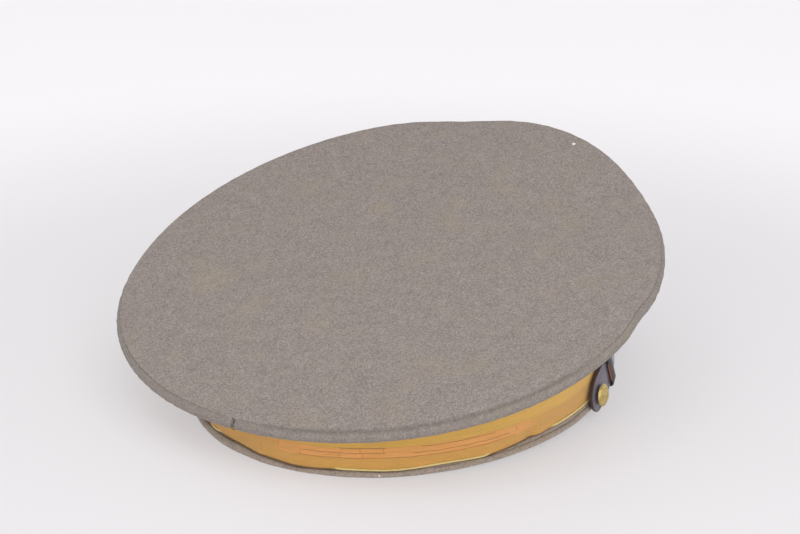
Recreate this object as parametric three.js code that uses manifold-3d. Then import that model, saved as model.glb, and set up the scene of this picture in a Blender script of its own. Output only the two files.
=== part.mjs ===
// Officer's peaked cap: a grey twill crown over a stiff band with a gold ribbon, a peak and a chin strap.
// Millimetres. +X is the front, +Y the wearer's left, +Z up. The pieces are shaped in the cap's own frame,
// whose origin is the centre of the band's lower edge. The whole cap then leans back, as it rests on its
// peak.
import * as THREE from "three";
import { mergeVertices } from "three/addons/utils/BufferGeometryUtils.js";
import Module from "manifold-3d";

const wasm = await Module();
wasm.setup();

// How the cap rests
const leanBack = THREE.MathUtils.degToRad(2.55);
const settle = 0.35; // how far the back of the band's lower edge sinks into its pressed welt
const boxCentreX = 10.3; // from the band's centre to the middle of the whole length

// Band, measured to the welt's outer side
const bandLength = 204;
const bandWidth = 187.7;
const bandEgg = -1.7; // makes the back of the oval fuller than the front
const bandTop = 26;
const bandThick = 2.4;
const bandInset = 2.9;

// Ribbon round the band
const ribbonInset = 2;
const ribbonThick = 0.6;
const ribbonTop = 25.6;

// Welt under the band. Its upper side is uneven, because the cap's weight has pressed it at the back.
const weltDrop = 0.4;
const weltRound = 1.4;
const weltSteps = 4;
const weltGap = 0.3;
const weltTop = [
  { angle: -180, height: 2.6 },
  { angle: -170, height: 1.6 },
  { angle: -158, height: 2.3 },
  { angle: -145, height: 1.8 },
  { angle: -132, height: 2.7 },
  { angle: -121, height: 2.1 },
  { angle: -108, height: 3.5 },
  { angle: -96, height: 3.9 },
  { angle: -70, height: 3.2 },
  { angle: 70, height: 3.2 },
  { angle: 150, height: 3.6 },
  { angle: 171, height: 3.8 },
  { angle: 180, height: 2.6 },
];

// Crown, measured at the seam between the top and the sides
const crownLength = 239;
const crownWidth = 247;
const crownCentreX = -6.4;
const crownEgg = 6.5;
const crownSide = -0.7; // draws the sides in behind and lets them out in front
const crownHeight = 58.3;
const crownRise = 30.8; // the seam is this much higher at the front, and lower at the back
const crownSaddle = 0.6;
const crownTwist = 2.3;
const crownSag = 1.2;
const crownWarps = [ // where the hoop in the crown's edge has lost its round shape
  { angle: -72, wide: 12, out: 0.7, up: 0 },
  { angle: -42, wide: 16, out: 0, up: -3.3 },
  { angle: -8, wide: 20, out: 0, up: 1.8 },
  { angle: 17, wide: 11, out: 0, up: -1.9 },
  { angle: 108, wide: 26, out: 0, up: -0.6 },
];
const clothThick = 1.6;
const seamGap = 0.45;
const seamLine = 0.3; // the gap between the two side panels

// The rolled rim under the seam, from the seam outwards and down
const rimProfile = [
  { out: 0, down: 0 },
  { out: 0.95, down: 1.1 },
  { out: 1.6, down: 2.7 },
  { out: 1.3, down: 4.5 },
  { out: 0, down: 5.4 },
  { out: -1.8, down: 5.6 },
];
const crownSideEndInset = 3.2;
const crownSideBow = 2.5; // how far the tall front panel is drawn in between rim and band
const crownSideSteps = 4;

// Peak: a shallow crescent whose front edge is an arc seen from above
const peakCornerAngle = 45;
const peakReach = 42;
const peakThick = 2.2;
const peakRootTop = 2.5;
const peakRootGap = 0.35;
const peakTipSunk = 0.25; // how deep the tip would dip under the surface before it is pressed flat
const peakSteps = 28;
const peakRows = 5;

// Chin strap
const strapWidth = 16;
const strapThick = 1.5;
const strapEndAngle = 84.8;
const strapLowOut = 1.2; // the lower edge stands off over the welt
const strapHighOut = -1; // the upper edge leans on the ribbon
const strapLowHeight = 1; // where its middle line would be if it ran on back to strapRiseFrom
const strapFrontHeight = 15.6;
const strapRiseFrom = 94;
const strapRiseTo = 66;
const strapBulge = 0.8; // how far it stands off beside its buttons
const strapBulgeAngle = 74;
const strapBulgeWide = 7;
const strapSteps = 64;
const strapEndSteps = 4;
const strapEndBlunt = 0.8; // how blunt the round end is, in steps

// Keepers and buttons
const keeperAngle = 72.8;
const keeperWidth = 5.5;
const keeperLeaf = 0.9;
const keeperBack = 0.7; // the leaf between strap and ribbon is pared thin
const keeperOver = 0.3; // clear of the strap's outer face
const keeperUnder = 0.65; // and of its inner face, which is hollow where the strap bends
const keeperSlack = 0.7; // at its edges
const buttonAngle = 80.3;
const buttonUp = -2.3; // from the strap's middle line
const buttonRadius = 5.1;
const buttonShank = 0.8;
const buttonShankRadius = 1.8;
const buttonRim = 0.5;
const buttonDome = 1.1;
const domeSteps = 4;
const buttonSides = 24;

const around = 72; // steps round the cap

const paint = (colour, roughness, metalness = 0) =>
  new THREE.MeshStandardMaterial({ color: colour, roughness, metalness });
const twill = paint(0x978d87, 0.95);
const ribbonCloth = paint(0xc99650, 0.6);
const blackLeather = paint(0x2b2729, 0.35);
const brass = paint(0xa48d66, 0.4, 0.9);

const degrees = THREE.MathUtils.degToRad;
const lift = (bandLength / 2 - bandEgg) * Math.sin(leanBack) - settle;
const lean = new THREE.Matrix4()
  .makeTranslation(-boxCentreX, 0, lift)
  .multiply(new THREE.Matrix4().makeRotationY(-leanBack));

// A point on the band's oval, moved outwards and up.
function bandPoint(angle, out, height) {
  const c = Math.cos(angle);
  const x = (bandLength / 2 + out) * c + bandEgg * Math.cos(2 * angle);
  const y = (bandWidth / 2 + out) * Math.sin(angle);
  return new THREE.Vector3(x, y, height);
}

// A bump that is 1 at the middle and dies away over its width, all in degrees round the cap.
function bump(angle, middle, wide) {
  const apart = angle - degrees(middle);
  const away = THREE.MathUtils.radToDeg(Math.atan2(Math.sin(apart), Math.cos(apart)));
  return Math.exp(-((away / wide) ** 2));
}

function crownWarpAt(angle) {
  const total = { out: 0, up: 0 };
  for (const row of crownWarps) {
    total.out += row.out * bump(angle, row.angle, row.wide);
    total.up += row.up * bump(angle, row.angle, row.wide);
  }
  return total;
}

// A point of the crown's top surface: share is 0 at its middle and 1 at the seam.
function crownPoint(angle, share) {
  const c = Math.cos(angle);
  const c2 = Math.cos(2 * angle);
  const s2 = Math.sin(2 * angle);
  const square = share * share;
  const warp = crownWarpAt(angle);
  const x = crownCentreX + share * (crownLength / 2) * c + square * (crownEgg * c2 + warp.out * c);
  const s = Math.sin(angle);
  const y = share * (crownWidth / 2) * s + square * (crownSide * s2 + warp.out * s);
  const shape = square * (crownSaddle * c2 + crownTwist * s2 + warp.up);
  const z = crownHeight + share * crownRise * c + shape - crownSag * (1 - square);
  return new THREE.Vector3(x, y, z);
}

// Makes a geometry one closed body: shared corners are merged and its faces point out.
function closed(geometry) {
  geometry.deleteAttribute("normal");
  geometry.deleteAttribute("uv");
  const body = mergeVertices(geometry, 1e-4);
  const p = body.attributes.position;
  const index = Array.from(body.index.array);
  const kept = [];
  let volume = 0;
  for (let i = 0; i < index.length; i += 3) {
    const [a, b, c] = index.slice(i, i + 3);
    if (a === b || b === c || c === a) continue;
    kept.push([a, b, c]);
    const [va, vb, vc] = [a, b, c].map((k) => new THREE.Vector3().fromBufferAttribute(p, k));
    volume += va.dot(vb.cross(vc));
  }
  body.setIndex(kept.flatMap(([a, b, c]) => (volume > 0 ? [a, b, c] : [a, c, b])));
  return body;
}

function toSolid(geometry) {
  const vertProperties = new Float32Array(geometry.attributes.position.array);
  const triVerts = new Uint32Array(geometry.index.array);
  return new wasm.Manifold(new wasm.Mesh({ numProp: 3, vertProperties, triVerts }));
}

function toGeometry(solid) {
  const mesh = solid.getMesh();
  const geometry = new THREE.BufferGeometry();
  geometry.setAttribute("position", new THREE.BufferAttribute(mesh.vertProperties, 3));
  geometry.setIndex(new THREE.BufferAttribute(mesh.triVerts, 1));
  return geometry;
}

// A ring with the same number of stations at each angle round the cap. place gives each station its point.
// A disc's first and last stations lie on the middle line; any other ring closes on itself.
function turned(stations, place, disc = false) {
  const profile = [];
  const halfTurns = disc ? 1 / (stations - 1) : 2 / stations;
  for (let j = 0; j < stations; j++) {
    const turn = Math.PI * halfTurns * j;
    profile.push(new THREE.Vector2((disc ? 0 : 2) + Math.sin(turn), Math.cos(turn)));
  }
  if (!disc) profile.push(profile[0].clone());
  const ring = new THREE.LatheGeometry(profile, around);
  const p = ring.attributes.position;
  for (let i = 0; i <= around; i++) {
    const angle = ((i % around) / around) * Math.PI * 2;
    for (let j = 0; j < profile.length; j++) {
      const at = place(angle, j % stations);
      p.setXYZ(i * profile.length + j, at.x, at.y, at.z);
    }
  }
  return closed(ring);
}

// The height of the welt's upper side at an angle, in degrees from -180 to 180.
function weltTopAt(angle) {
  const at = THREE.MathUtils.radToDeg(Math.atan2(Math.sin(angle), Math.cos(angle)));
  const next = Math.max(1, weltTop.findIndex((row) => row.angle >= at));
  const [from, to] = [weltTop[next - 1], weltTop[next]];
  const share = (at - from.angle) / (to.angle - from.angle);
  return THREE.MathUtils.lerp(from.height, to.height, THREE.MathUtils.smoothstep(share, 0, 1));
}

// A wall round the band, from just over the welt to a level top.
function bandWall(outside, thick, top) {
  return turned(4, (angle, j) => {
    const out = -outside - (j < 2 ? 0 : thick);
    return bandPoint(angle, out, j === 0 || j === 3 ? weltTopAt(angle) + weltGap : top);
  });
}

// The slab of surface that the cap stands on, in the cap's own frame.
function surfaceSlab() {
  const size = 2 * crownWidth;
  const slab = new THREE.BoxGeometry(size, size, size).translate(0, 0, -size / 2);
  return toSolid(closed(slab.applyMatrix4(lean.clone().invert())));
}

function crownTop() {
  const shares = [0, 0.3, 0.6, 0.82, 0.94, 1];
  const count = shares.length;
  const place = (angle, j) => {
    const under = j >= count;
    const share = shares[under ? 2 * count - 1 - j : j];
    const at = crownPoint(angle, share);
    const edge = share === 1 ? seamGap + (under ? clothThick : 0) : 0;
    at.x -= edge * Math.cos(angle);
    at.y -= edge * Math.sin(angle);
    at.z -= under ? clothThick : 0;
    return at;
  };
  return turned(2 * count, place, true);
}

// The outside of a side panel at one angle, as points outwards and up from the cap's middle line.
function sideOutline(angle) {
  const seam = crownPoint(angle, 1);
  const end = bandPoint(angle, -crownSideEndInset, bandTop + 0.3);
  const outline = rimProfile.map(({ out, down }) => {
    return new THREE.Vector3(seam.x + out * Math.cos(angle), seam.y + out * Math.sin(angle), seam.z - down);
  });
  const rim = outline[outline.length - 1].clone();
  const tall = (rim.z - end.z) / (crownHeight + crownRise - end.z);
  for (let i = 1; i <= crownSideSteps; i++) {
    const t = i / crownSideSteps;
    const at = rim.clone().lerp(end, t);
    const bow = crownSideBow * Math.max(tall, 0) * Math.sin(Math.PI * t);
    at.x -= bow * Math.cos(angle);
    at.y -= bow * Math.sin(angle);
    outline.push(at);
  }
  return outline;
}

function crownSides() {
  const count = rimProfile.length + crownSideSteps;
  const place = (angle, j) => {
    const outline = sideOutline(angle);
    if (j < count) return outline[j];
    const i = 2 * count - 1 - j;
    const before = outline[Math.max(i - 1, 0)];
    const after = outline[Math.min(i + 1, count - 1)];
    const along = after.clone().sub(before).normalize();
    const across = new THREE.Vector3(-Math.sin(angle), Math.cos(angle), 0);
    return outline[i].clone().addScaledVector(along.cross(across).normalize(), -clothThick);
  };
  return toSolid(turned(2 * count, place));
}

function halfOf(solid, side) {
  const size = 2 * crownWidth;
  const half = new THREE.BoxGeometry(size, size, size).translate(0, (side * (size + seamLine)) / 2, 0);
  return toGeometry(solid.intersect(toSolid(closed(half))));
}

// A flat hem under the band with a rounded outer side, cut level where it lies on the surface.
function lowerWelt() {
  const inside = bandInset + bandThick;
  const place = (angle, j) => {
    const half = (weltTopAt(angle) + weltDrop) / 2;
    if (j === 0) return bandPoint(angle, -inside, -weltDrop);
    if (j === weltSteps + 2) return bandPoint(angle, -inside, half * 2 - weltDrop);
    const turn = Math.PI * ((j - 1) / weltSteps - 0.5);
    return bandPoint(angle, weltRound * (Math.cos(turn) - 1), half - weltDrop + half * Math.sin(turn));
  };
  return toGeometry(toSolid(turned(weltSteps + 3, place)).subtract(surfaceSlab()));
}

// How far the peak reaches out of the band: its front edge is an arc through the corners and the tip.
function peakWidth(angle) {
  const corner = bandPoint(degrees(peakCornerAngle), 0, 0);
  const tip = bandPoint(0, peakReach, 0);
  const radius = ((tip.x - corner.x) ** 2 + corner.y ** 2) / (2 * (tip.x - corner.x));
  const root = bandPoint(angle, 0, 0).sub(new THREE.Vector3(tip.x - radius, 0, 0));
  const outward = new THREE.Vector3(Math.cos(angle), Math.sin(angle), 0);
  const along = root.dot(outward);
  return Math.sqrt(along * along + radius * radius - root.lengthSq()) - along;
}

function peak() {
  const tip = bandPoint(0, peakReach, 0);
  const surface = -(lift + tip.x * Math.sin(leanBack)) / Math.cos(leanBack);
  const slope = (peakRootTop - peakThick - surface + peakTipSunk) / (peakReach - peakRootGap);
  const board = new THREE.BoxGeometry(1, 1, 1, peakSteps, peakRows, 1);
  const p = board.attributes.position;
  for (let i = 0; i < p.count; i++) {
    const angle = degrees(peakCornerAngle * 0.985) * 2 * p.getX(i);
    const share = p.getY(i) + 0.5;
    const reach = peakRootGap + share * (peakWidth(angle) - peakRootGap);
    const root = bandPoint(angle, 0, 0);
    const under = p.getZ(i) < 0 ? peakThick : 0;
    const x = root.x + reach * Math.cos(angle);
    const y = root.y + reach * Math.sin(angle);
    p.setXYZ(i, x, y, peakRootTop - under - slope * (reach - peakRootGap));
  }
  return toGeometry(toSolid(closed(board)).subtract(surfaceSlab()));
}

// The strap's middle line is low at its ends and climbs over the peak.
function strapHeight(angle) {
  const low = -degrees(strapRiseFrom);
  const rise = THREE.MathUtils.smoothstep(-Math.abs(angle), low, -degrees(strapRiseTo));
  return strapLowHeight + rise * (strapFrontHeight - strapLowHeight);
}

// A point of the strap's inner face, up from its middle line, moved out of it. Its upper edge leans inwards.
function strapPoint(angle, up, out) {
  const share = up / strapWidth + 0.5;
  const bulge = strapBulge * bump(Math.abs(angle), strapBulgeAngle, strapBulgeWide);
  const lay = strapLowOut + share * (strapHighOut - strapLowOut) + bulge;
  return bandPoint(angle, lay + out, strapHeight(angle) + up);
}

// The directions along the strap, up it and out of it.
function strapFrame(angle) {
  const step = degrees(1);
  const along = strapPoint(angle + step, 0, 0).sub(strapPoint(angle - step, 0, 0)).normalize();
  const up = strapPoint(angle, 1, 0).sub(strapPoint(angle, -1, 0));
  const out = along.clone().cross(up).normalize();
  return { along, out, up: out.clone().cross(along) };
}

// The strap's angle and half width at a step along it, with its two ends rounded.
function strapStation(step) {
  const half = strapWidth / 2;
  const roundAngle = half / (bandWidth / 2 + strapLowOut);
  const straightAngle = degrees(strapEndAngle) - roundAngle;
  const fromEnd = Math.min(step, strapSteps - step);
  if (fromEnd >= strapEndSteps) {
    const share = (step - strapEndSteps) / (strapSteps - 2 * strapEndSteps);
    return { angle: (2 * share - 1) * straightAngle, half };
  }
  const turn = (Math.PI / 2) * ((fromEnd + strapEndBlunt) / (strapEndSteps + strapEndBlunt));
  const side = step < strapSteps / 2 ? -1 : 1;
  return { angle: side * (straightAngle + roundAngle * Math.cos(turn)), half: half * Math.sin(turn) };
}

function chinStrap() {
  const strap = new THREE.BoxGeometry(strapSteps, 1, 1, strapSteps, 1, 1);
  const p = strap.attributes.position;
  for (let i = 0; i < p.count; i++) {
    const { angle, half } = strapStation(Math.round(p.getX(i) + strapSteps / 2));
    const at = strapPoint(angle, 2 * p.getY(i) * half, p.getZ(i) > 0 ? strapThick : 0);
    p.setXYZ(i, at.x, at.y, at.z);
  }
  return closed(strap);
}

function rectangle(path, { high, from, to }) {
  path.moveTo(-high / 2, from);
  path.lineTo(high / 2, from);
  path.lineTo(high / 2, to);
  path.lineTo(-high / 2, to);
  path.closePath();
  return path;
}

// A loop of leather round the strap, with the strap's inner face at zero and its outer face at strapThick.
function keeper() {
  const hole = { high: strapWidth + 2 * keeperSlack, from: -keeperUnder, to: strapThick + keeperOver };
  const outline = rectangle(new THREE.Shape(), {
    high: hole.high + 2 * keeperLeaf,
    from: hole.from - keeperBack,
    to: hole.to + keeperLeaf,
  });
  outline.holes.push(rectangle(new THREE.Path(), hole));
  const loop = new THREE.ExtrudeGeometry(outline, { depth: keeperWidth, bevelEnabled: false });
  return closed(loop.translate(0, 0, -keeperWidth / 2));
}

// A plain domed button on its shank, the shank's foot at the origin and the dome along +Z.
function button() {
  const rim = buttonShank + buttonRim;
  const profile = [[0, 0], [buttonShankRadius, 0]];
  profile.push([buttonShankRadius, buttonShank], [buttonRadius, buttonShank]);
  for (let i = 0; i < domeSteps; i++) {
    const turn = (i / domeSteps) * (Math.PI / 2);
    profile.push([buttonRadius * Math.cos(turn), rim + buttonDome * Math.sin(turn)]);
  }
  profile.push([0, rim + buttonDome]);
  const outline = profile.map(([out, up]) => new THREE.Vector2(out, up));
  return closed(new THREE.LatheGeometry(outline, buttonSides).rotateX(Math.PI / 2));
}

const cap = new THREE.Group();
cap.applyMatrix4(lean);

function add(name, geometry, material) {
  const mesh = new THREE.Mesh(geometry, material);
  mesh.name = name;
  cap.add(mesh);
  return mesh;
}

const sides = crownSides();
add("crown_top", crownTop(), twill);
add("crown_side_left", halfOf(sides, 1), twill);
add("crown_side_right", halfOf(sides, -1), twill);
add("cap_band", bandWall(bandInset, bandThick, bandTop), twill);
add("band_ribbon", bandWall(ribbonInset, ribbonThick, ribbonTop), ribbonCloth);
add("lower_welt", lowerWelt(), twill);
add("peak", peak(), blackLeather);
add("chin_strap", chinStrap(), blackLeather);

for (const [side, name] of [[-1, "right"], [1, "left"]]) {
  const keeperAt = strapFrame(side * degrees(keeperAngle));
  const loop = add(`keeper_${name}`, keeper(), blackLeather);
  loop.position.copy(strapPoint(side * degrees(keeperAngle), 0, 0));
  loop.setRotationFromMatrix(new THREE.Matrix4().makeBasis(keeperAt.up, keeperAt.out, keeperAt.along));
  const buttonAt = strapFrame(side * degrees(buttonAngle));
  const dome = add(`button_${name}`, button(), brass);
  dome.position.copy(strapPoint(side * degrees(buttonAngle), buttonUp, strapThick + 0.3));
  dome.setRotationFromMatrix(new THREE.Matrix4().makeBasis(buttonAt.along, buttonAt.up, buttonAt.out));
}

export default cap;
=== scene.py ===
import math

import bmesh
import bpy
import numpy as np
from mathutils import Matrix, Vector


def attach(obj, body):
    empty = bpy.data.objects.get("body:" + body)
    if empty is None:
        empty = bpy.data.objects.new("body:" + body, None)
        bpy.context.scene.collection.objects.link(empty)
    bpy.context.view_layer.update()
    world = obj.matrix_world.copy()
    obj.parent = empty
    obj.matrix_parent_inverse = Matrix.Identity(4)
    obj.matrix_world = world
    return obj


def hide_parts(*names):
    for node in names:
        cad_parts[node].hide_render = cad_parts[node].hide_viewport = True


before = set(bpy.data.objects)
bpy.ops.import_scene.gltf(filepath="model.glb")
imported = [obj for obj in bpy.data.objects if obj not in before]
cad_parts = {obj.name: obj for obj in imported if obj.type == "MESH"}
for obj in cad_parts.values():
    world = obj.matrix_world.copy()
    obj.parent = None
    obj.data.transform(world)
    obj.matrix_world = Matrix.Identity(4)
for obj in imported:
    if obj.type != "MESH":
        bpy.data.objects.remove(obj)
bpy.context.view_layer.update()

# Officer's peaked cap. The pieces are shaped in the cap's own frame, in millimetres: its origin is the
# middle of the band's lower edge, angle 0 is the front, 180 the back, and negative angles are the
# wearer's right.
mm = 0.001


# Rows of values, each by the name of its column
def table(columns, *rows):
    return [dict(zip(columns.split(), row)) for row in rows]


cap = {
    "leanBack": 2.55,
    "settle": 0.35,
    "boxCentreX": 10.3,  # from the band's middle to the middle of the whole cap, peak included
    "bandLength": 204,
    "bandWidth": 187.7,
    "bandEgg": -1.7,
    "bandTop": 26,
    "crownLength": 239,
    "crownWidth": 247,
    "crownCentreX": -6.4,
    "crownEgg": 6.5,
    "crownSide": -0.7,
    "crownHeight": 58.3,
    "crownRise": 30.8,
    "crownSaddle": 0.6,
    "crownTwist": 2.3,
    "crownSag": 1.2,
    "warps": table(  # where the hoop in the crown's edge has lost its round shape
        "angle wide out up",
        (-72, 12, 0.7, 0),
        (-42, 16, 0, -3.3),
        (-8, 20, 0, 1.8),
        (17, 11, 0, -1.9),
        (108, 26, 0, -0.6),
    ),
}

welt = {
    "drop": 0.4,
    "rollRound": 0.78,  # 1 is a half circle, less is flatter
    "rollHeight": 2.3,  # where the band is held up, the roll stays this high, with a flat strip over it
    "rollExtra": 1.9,  # but on the left the roll takes all of it
    "stripInset": 1.25,
    "leftFrom": 84,  # that side begins and ends softly, here and past the back
    "leftTo": -158,
    "leftSoft": 20,
    "leftEndSoft": 14,
    "rollRipple": 0.15,
    "inside": 5.3,
    "lumps": 0.07,
    "waves": 0.12,
    "top": table(
        "angle height",
        (-180, 2.6), (-170, 1.6), (-158, 2.3), (-145, 1.8), (-132, 2.7),
        (-121, 2.1), (-108, 3.5), (-96, 3.9), (-70, 3.2), (70, 3.2),
        (150, 3.6), (171, 3.8), (180, 2.6),
    ),
}


def smooth(share):
    share = np.clip(share, 0, 1)
    return share * share * (3 - 2 * share)


# Rises from 0 to 1 over softLow from low on, and falls back to 0 over softHigh as it nears high
def between(value, low, high, softLow, softHigh):
    return smooth((value - low) / softLow) * smooth((high - value) / softHigh)


def hump(value, middle, wide):
    return np.exp(-(((value - middle) / wide) ** 2))


# A wandering line round the cap that closes on itself, about 1 high
def wander(angle, slow, fast, seed):
    dice = np.random.RandomState(seed)
    total = np.zeros_like(angle)
    for waves in range(slow, fast + 1):
        total += np.cos(waves * angle + dice.uniform(0, 2 * math.pi))
    return total / math.sqrt(fast - slow + 1)


def roundRing(turns):
    return np.linspace(-math.pi, math.pi, turns, endpoint=False)


def unit(vectors):
    return vectors / np.linalg.norm(vectors, axis=-1, keepdims=True)


# Coordinates given one by one, put together as points
def asPoints(*coordinates):
    return np.stack(np.broadcast_arrays(*coordinates), axis=-1)


def bandPoint(angle, out, high):
    x = (cap["bandLength"] / 2 + out) * np.cos(angle) + cap["bandEgg"] * np.cos(2 * angle)
    y = (cap["bandWidth"] / 2 + out) * np.sin(angle)
    return asPoints(x, y, high)


# How far an angle is from a middle one, the short way round, in degrees
def degreesFrom(angle, middle=0):
    apart = angle - math.radians(middle)
    return np.degrees(np.arctan2(np.sin(apart), np.cos(apart)))


# The crown's top surface: share is 0 in the middle and 1 at the seam
def crownPoint(angle, share):
    twice = 2 * angle
    square = share * share
    out, up = 0.0, 0.0
    for row in cap["warps"]:
        near = hump(degreesFrom(angle, row["angle"]), 0, row["wide"])
        out = out + row["out"] * near
        up = up + row["up"] * near
    eggX = cap["crownEgg"] * np.cos(twice) + out * np.cos(angle)
    eggY = cap["crownSide"] * np.sin(twice) + out * np.sin(angle)
    x = cap["crownCentreX"] + share * cap["crownLength"] / 2 * np.cos(angle) + square * eggX
    y = share * cap["crownWidth"] / 2 * np.sin(angle) + square * eggY
    shape = cap["crownSaddle"] * np.cos(twice) + cap["crownTwist"] * np.sin(twice) + up
    z = cap["crownHeight"] + share * cap["crownRise"] * np.cos(angle) + square * shape
    z = z - cap["crownSag"] * (1 - square)
    return asPoints(x, y, z)


def weltTopAt(angle):
    degrees = degreesFrom(angle)
    angles, heights = np.array([[row["angle"], row["height"]] for row in welt["top"]], float).T
    after = np.clip(np.searchsorted(angles, degrees), 1, len(angles) - 1)
    share = (degrees - angles[after - 1]) / (angles[after] - angles[after - 1])
    return heights[after - 1] + smooth(share) * (heights[after] - heights[after - 1])


# The cap leans back on the back of its band, which lifts the band's middle off the surface
lean = math.radians(cap["leanBack"])
lift = (cap["bandLength"] / 2 - cap["bandEgg"]) * math.sin(lean) - cap["settle"]


# From the cap's own frame to the frame that it rests in
def leaned(points):
    x, y, z = points[..., 0], points[..., 1], points[..., 2]
    along = x * math.cos(lean) - z * math.sin(lean) - cap["boxCentreX"]
    up = x * math.sin(lean) + z * math.cos(lean) + lift
    return asPoints(along, y, up)


# Presses what would dip under the surface flat, just clear of it
def pressed(points, clear=0.03):
    made = leaned(points)
    made[..., 2] = np.maximum(made[..., 2], clear)
    return made


def arcLengths(points, axis):
    steps = np.linalg.norm(np.diff(points, axis=axis), axis=-1)
    first = np.zeros_like(np.take(steps, [0], axis=axis))
    return np.cumsum(np.concatenate([first, steps], axis=axis), axis=axis)


# A smooth line through the points of the second axis
def throughPoints(points, perSpan):
    before = 2 * points[:, :1] - points[:, 1:2]
    after = 2 * points[:, -1:] - points[:, -2:-1]
    p = np.concatenate([before, points, after], axis=1)
    rows = []
    for i in range(points.shape[1] - 1):
        a, b, c, d = p[:, i], p[:, i + 1], p[:, i + 2], p[:, i + 3]
        for k in range(perSpan):
            t = k / perSpan
            bend = (2 * a - 5 * b + 4 * c - d) * t * t + (3 * b - a - 3 * c + d) * t ** 3
            rows.append(b + 0.5 * ((c - a) * t + bend))
    rows.append(points[:, -1])
    return np.stack(rows, axis=1)


def newObject(name, data):
    made = bpy.data.objects.new(name, data)
    bpy.context.scene.collection.objects.link(made)
    return made


# One mesh from rows of points, in millimetres in the resting frame. flat holds the same points laid
# out flat, also in millimetres, for the weave, and edge how far they are from the crown's seam and how
# much it shows there. The rows close on themselves if ring is set, with their flat layout going on by
# around, and the points of a row if loop is.
def makeSkin(name, points, flat, material, ring=True, loop=True, capped=False, edge=None, around=0.0):
    rows, count = points.shape[:2]
    lastRow = rows if ring else rows - 1
    lastPoint = count if loop else count - 1
    i, j = np.meshgrid(np.arange(lastRow), np.arange(lastPoint), indexing="ij")
    nextI, nextJ = (i + 1) % rows, (j + 1) % count
    corners = [i * count + j, nextI * count + j, nextI * count + nextJ, i * count + nextJ]
    quads = np.stack(corners, axis=-1).reshape(-1, 4)
    places = points.reshape(-1, 3) * mm
    a, b, c, d = (places[quads[:, k]] for k in range(4))
    volume = np.einsum("ij,ij->", a, np.cross(b, c)) + np.einsum("ij,ij->", a, np.cross(c, d))
    turned = -1 if volume < 0 else 1
    faces = quads[:, ::turned].tolist()
    ends = []
    if capped:
        for row, step in ((0, turned), (rows - 1, -turned)):
            ends.append(([row * count + k for k in range(count)][::step], row))
    mesh = bpy.data.meshes.new(name)
    mesh.from_pydata(places.tolist(), [], faces + [face for face, row in ends])
    for key, laid in {"cloth": flat, "edge": edge}.items():
        if laid is None:
            continue
        laid = np.concatenate([laid, laid[:1] + [around, 0]], axis=0)
        corner = [laid[i, j], laid[i + 1, j], laid[i + 1, nextJ], laid[i, nextJ]]
        layout = np.stack(corner, axis=-2).reshape(-1, 4, 2)[:, ::turned].reshape(-1, 2)
        for face, row in ends:
            layout = np.concatenate([layout, laid[row, np.array(face) % count]])
        mesh.uv_layers.new(name=key).data.foreach_set("uv", layout.astype(np.float32).ravel())
    mesh.materials.append(material)
    mesh.shade_smooth()
    return newObject(name, mesh)


# Merges the points that lie on each other, such as those in the middle of the crown
def welded(piece, reach=1e-6):
    shape = bmesh.new()
    shape.from_mesh(piece.data)
    bmesh.ops.remove_doubles(shape, verts=shape.verts, dist=reach)
    shape.to_mesh(piece.data)
    shape.free()
    return piece


def settle(piece, slot, *nodes):
    if nodes:
        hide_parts(*nodes)
    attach(piece, "root")
    return piece


def fromSrgb(red, green, blue):
    shares = [value / 255 for value in (red, green, blue)]
    linear = [s / 12.92 if s <= 0.04045 else ((s + 0.055) / 1.055) ** 2.4 for s in shares]
    return (*linear, 1)


# A node's output: plain arithmetic with it adds math nodes to its material
class Signal:
    def __init__(self, mix, socket):
        self.mix = mix
        self.socket = socket

    def __add__(self, other):
        return self.mix.calc("ADD", self, other)

    def __sub__(self, other):
        return self.mix.calc("SUBTRACT", self, other)

    def __mul__(self, other):
        return self.mix.calc("MULTIPLY", self, other)

    def __truediv__(self, other):
        return self.mix.calc("DIVIDE", self, other)


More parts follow.
